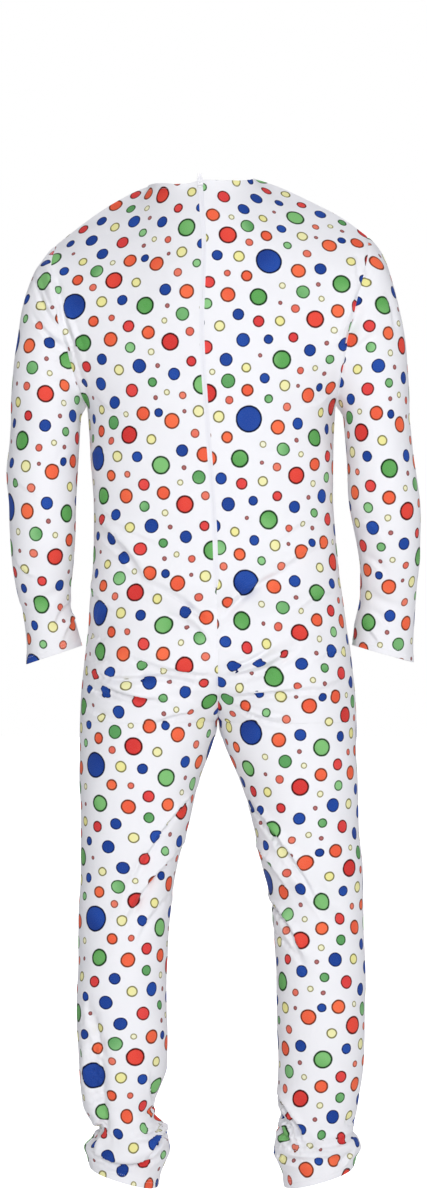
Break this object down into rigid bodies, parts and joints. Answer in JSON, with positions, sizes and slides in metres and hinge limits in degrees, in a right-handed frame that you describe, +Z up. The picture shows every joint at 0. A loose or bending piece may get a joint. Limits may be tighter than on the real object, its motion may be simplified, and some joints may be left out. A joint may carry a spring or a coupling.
{
  "type": "costume jumpsuit",
  "caption": "Hollow long-sleeved one-piece costume suit in white stretch cloth with multicolour spots, closed by a centre back zip, in the shape it takes when worn.",
  "frame": {"origin": "inside the neck opening, level with the points where the shoulder seams meet it and above the middle of the waist, where the suit hangs on its wearer", "axes": "+X to the wearer's right, +Y out of the wearer's front, +Z up; the zip is at the back, facing -Y"},
  "size_m": [0.6217, 0.2578, 1.5101],
  "materials": {
    "spotted_cloth": "white stretch knit with a soft sheen, printed with spots in several colours",
    "zip_tape": "plain white woven tape",
    "zip_teeth": "white plastic coil",
    "white_enamel": "white painted"
  },
  "bodies": {
    "suit": {"back_left": "spotted_cloth", "back_right": "spotted_cloth", "front_left": "spotted_cloth", "front_right": "spotted_cloth", "sleeve_left": "spotted_cloth", "sleeve_right": "spotted_cloth", "zip_tape_left": "zip_tape", "zip_tape_right": "zip_tape", "zip_chain": "zip_teeth", "zip_slider": "white_enamel"},
    "pull_tab": {"zip_pull": "white_enamel"}
  },
  "joints": [
    {"name": "pull_tab_hinge", "type": "hinge", "parent": "suit", "child": "pull_tab", "pos_m": [-0.01906, -0.0812, -0.00723], "axis": [0.9956, -0.0286, 0.0892], "range_deg": [0, 165]}
  ]
}
